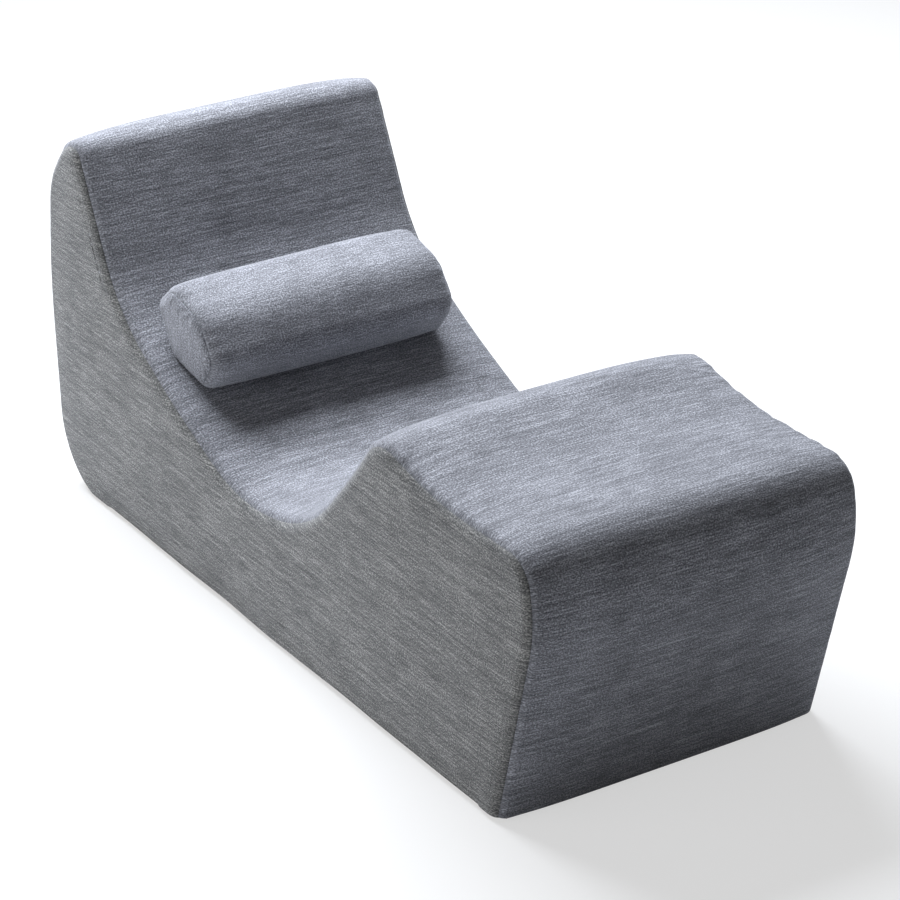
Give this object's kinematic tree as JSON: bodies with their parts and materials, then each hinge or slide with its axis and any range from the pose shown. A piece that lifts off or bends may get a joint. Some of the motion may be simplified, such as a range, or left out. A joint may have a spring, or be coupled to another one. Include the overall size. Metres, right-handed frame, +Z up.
{
  "type": "chaise longue",
  "caption": "Curved upholstered chaise longue with a raised leg rest, a deep seat, a leaning back and a loose zipped bolster on the back slope.",
  "frame": {"origin": "on the floor, below the middle of the box round the chaise", "axes": "+X across the chaise to the lying person's left side as seen from the foot end looking to the head, +Y from the foot end to the head end, +Z up"},
  "size_m": [0.64, 1.5982, 0.7038],
  "materials": {
    "plywood": "raw birch plywood",
    "solid_wood": "planed softwood",
    "steel": "zinc plated steel",
    "elastic_webbing": "woven elastic webbing",
    "seat_foam": "polyurethane foam",
    "wadding": "polyester wadding",
    "upholstery": "charcoal grey chenille weave, streaks across the chaise",
    "side_upholstery": "charcoal grey chenille weave, streaks along the chaise",
    "bolster_upholstery": "charcoal grey chenille weave",
    "nonwoven_cloth": "black non-woven cloth",
    "glide_plastic": "black plastic",
    "zip_tape": "dark grey woven tape with nylon coil",
    "zip_metal": "dark nickel"
  },
  "bodies": {
    "chaise": {"side_frame_left": "plywood", "side_frame_right": "plywood", "head_rail": "solid_wood", "back_rail": "solid_wood", "lumbar_rail": "solid_wood", "seat_rail": "solid_wood", "thigh_rail": "solid_wood", "leg_rest_rail": "solid_wood", "toe_rail": "solid_wood", "rear_rail": "solid_wood", "front_rail": "solid_wood", "frame_screws": "steel", "corner_blocks": "solid_wood", "base_board": "plywood", "webbing_back": "elastic_webbing", "webbing_seat": "elastic_webbing", "webbing_leg_rest": "elastic_webbing", "foam_front": "seat_foam", "foam_leg_rest": "seat_foam", "foam_seat": "seat_foam", "foam_back": "seat_foam", "foam_rear": "seat_foam", "side_pad_left": "seat_foam", "side_pad_right": "seat_foam", "wadding_wrap": "wadding", "cover_top_panel": "upholstery", "cover_side_left": "side_upholstery", "cover_side_right": "side_upholstery", "bottom_cloth": "nonwoven_cloth", "floor_glides": "glide_plastic", "glide_nails": "steel"},
    "bolster": {"bolster_core": "seat_foam", "bolster_wrap": "bolster_upholstery", "bolster_end_left": "bolster_upholstery", "bolster_end_right": "bolster_upholstery", "bolster_zip_tapes": "zip_tape"},
    "zip_slider": {"bolster_zip_slider": "zip_metal"},
    "zip_pull": {"bolster_zip_pull": "zip_metal"}
  },
  "joints": [
    {"name": "bolster_lift", "type": "slide", "parent": "chaise", "child": "bolster", "axis": [0, 0, 1], "range_m": [0, 0.42]},
    {"name": "zip_travel", "type": "slide", "parent": "bolster", "child": "zip_slider", "axis": [1, 0, 0], "range_m": [-0.316, 0]},
    {"name": "pull_swing", "type": "hinge", "parent": "zip_slider", "child": "zip_pull", "pos_m": [0.146, 0.45163, 0.48218], "axis": [0, 0.7526, -0.6585], "range_deg": [0, 160]}
  ]
}
